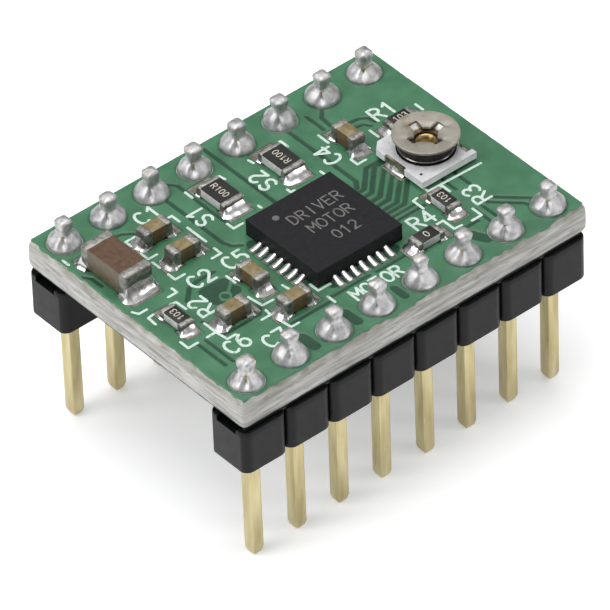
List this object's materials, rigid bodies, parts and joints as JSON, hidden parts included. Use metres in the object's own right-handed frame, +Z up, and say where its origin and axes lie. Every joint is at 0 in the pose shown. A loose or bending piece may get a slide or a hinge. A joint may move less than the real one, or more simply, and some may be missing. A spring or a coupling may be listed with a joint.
{
  "type": "stepper driver module",
  "caption": "Small plug-in circuit board that drives a stepper motor, standing on rows of square header pins, with a driver chip and a current-limit trimmer on top.",
  "frame": {"origin": "midway between the two pin rows and midway along them, level with the tips of the pins", "axes": "+X along the pin rows, away from the large capacitor and towards the trimmer; +Y from the near pin row to the far one; +Z up, from the pins to the parts on top of the board"},
  "size_m": [0.0205, 0.0153, 0.0116],
  "materials": {
    "laminate": "fibreglass laminate with a pale sawn edge",
    "solder_mask": "semi-gloss green solder mask with white legend",
    "tinned_copper": "tin-plated copper",
    "header_plastic": "moulded black thermoplastic",
    "pin_gold": "pale gold flash over brass",
    "solder": "bright solder",
    "chip_mould": "fine matte moulding compound",
    "lead_tin": "tin plate",
    "silicon": "polished silicon",
    "bond_gold": "drawn gold wire",
    "bulk_ceramic": "fired brown ceramic",
    "capacitor_ceramic": "fired tan ceramic",
    "end_metal": "tin-plated ends",
    "electrode_metal": "nickel film",
    "alumina": "white alumina",
    "overcoat": "black glass overcoat",
    "resistive_film": "printed thick film",
    "trimmer_ceramic": "pale grey ceramic",
    "resistive_ink": "glossy black resistive ink",
    "terminal_metal": "tin-plated clip",
    "rotor_steel": "stamped steel, satin",
    "rivet_brass": "bright brass",
    "wiper_spring": "spring nickel silver"
  },
  "bodies": {
    "board": {"board_laminate": "laminate", "bulk_capacitor_ceramic": "bulk_ceramic", "bulk_capacitor_ends": "end_metal", "bulk_capacitor_plates": "electrode_metal", "charge_pump_capacitor_ceramic": "capacitor_ceramic", "charge_pump_capacitor_ends": "end_metal", "copper_pads_bottom": "tinned_copper", "copper_pads_top": "tinned_copper", "decay_resistor_ends": "end_metal", "decay_resistor_overcoat": "overcoat", "decay_resistor_substrate": "alumina", "driver_ic_body": "chip_mould", "driver_ic_bond_wires": "bond_gold", "driver_ic_die": "silicon", "driver_ic_leads": "lead_tin", "driver_ic_thermal_pad": "lead_tin", "gate_supply_capacitor_ceramic": "capacitor_ceramic", "gate_supply_capacitor_ends": "end_metal", "header_far_housing": "header_plastic", "header_far_pins": "pin_gold", "header_far_solder": "solder", "header_near_housing": "header_plastic", "header_near_pins": "pin_gold", "header_near_solder": "solder", "jumper_resistor_ends": "end_metal", "jumper_resistor_overcoat": "overcoat", "jumper_resistor_substrate": "alumina", "limit_resistor_ends": "end_metal", "limit_resistor_overcoat": "overcoat", "limit_resistor_substrate": "alumina", "logic_capacitor_ceramic": "capacitor_ceramic", "logic_capacitor_ends": "end_metal", "plated_holes": "tinned_copper", "reference_capacitor_ceramic": "capacitor_ceramic", "reference_capacitor_ends": "end_metal", "reference_resistor_ends": "end_metal", "reference_resistor_overcoat": "overcoat", "reference_resistor_substrate": "alumina", "regulator_capacitor_ceramic": "capacitor_ceramic", "regulator_capacitor_ends": "end_metal", "resistor_films": "resistive_film", "sense_resistor_a_ends": "end_metal", "sense_resistor_a_overcoat": "overcoat", "sense_resistor_a_substrate": "alumina", "sense_resistor_b_ends": "end_metal", "sense_resistor_b_overcoat": "overcoat", "sense_resistor_b_substrate": "alumina", "small_capacitor_plates": "electrode_metal", "smd_solder": "solder", "solder_mask_bottom": "solder_mask", "solder_mask_top": "solder_mask", "supply_capacitor_ceramic": "capacitor_ceramic", "supply_capacitor_ends": "end_metal", "trimmer_end_terminals": "terminal_metal", "trimmer_rivet": "rivet_brass", "trimmer_slab": "trimmer_ceramic", "trimmer_track": "resistive_ink", "trimmer_wiper_terminal": "terminal_metal"},
    "rotor": {"trimmer_rotor": "rotor_steel", "trimmer_wiper": "wiper_spring"}
  },
  "joints": [
    {"name": "trimmer_turn", "type": "hinge", "parent": "board", "child": "rotor", "pos_m": [0.00715, 0, 0.01127], "axis": [0, 0, 1], "range_deg": [-130, 130]}
  ]
}
